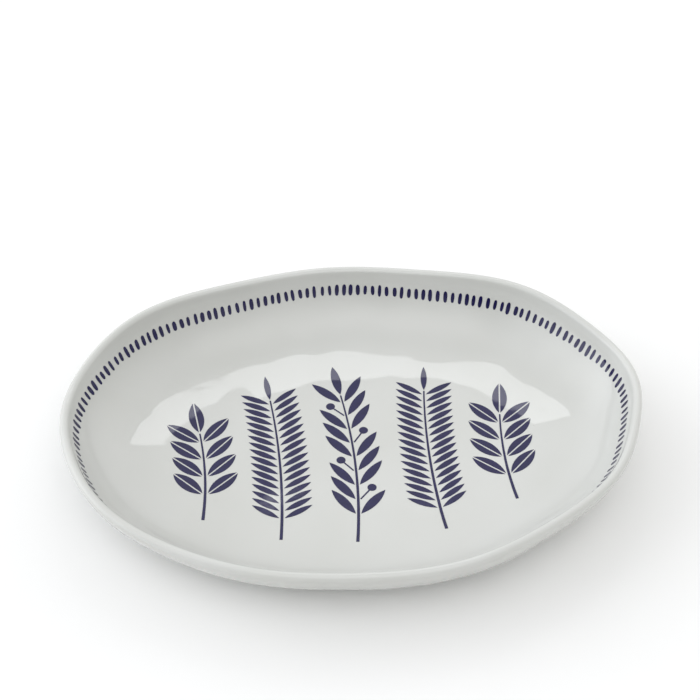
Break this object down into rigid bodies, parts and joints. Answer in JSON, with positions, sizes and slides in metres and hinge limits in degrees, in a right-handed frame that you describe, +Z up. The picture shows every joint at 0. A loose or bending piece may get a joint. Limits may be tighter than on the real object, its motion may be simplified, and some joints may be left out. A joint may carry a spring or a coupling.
{
  "type": "oval serving platter",
  "caption": "Oval glazed stoneware serving platter with curved walls, a wavering hand-formed rim, an unglazed foot ring, a printed stroke border and printed herb sprigs.",
  "frame": {"origin": "middle of the platter's length and width, on the surface that the foot stands on", "axes": "+X along the platter's length to its right-hand end, +Y across it to the back, +Z up out of the well"},
  "size_m": [0.3997, 0.2898, 0.0541],
  "materials": {
    "stoneware": "bare fired stoneware, matt and finely gritty",
    "white_glaze": "glossy warm white glaze with gentle waves",
    "navy_print": "navy transfer print fired under the gloss"
  },
  "bodies": {
    "root": {"clay_body": "stoneware", "foot_ring": "stoneware", "glaze_coat": "white_glaze", "base_glaze": "white_glaze", "border_print_right": "navy_print", "border_print_back": "navy_print", "border_print_left": "navy_print", "border_print_front": "navy_print", "bay_print_left": "navy_print", "fern_print_left": "navy_print", "olive_print": "navy_print", "fern_print_right": "navy_print", "bay_print_right": "navy_print"}
  },
  "joints": []
}
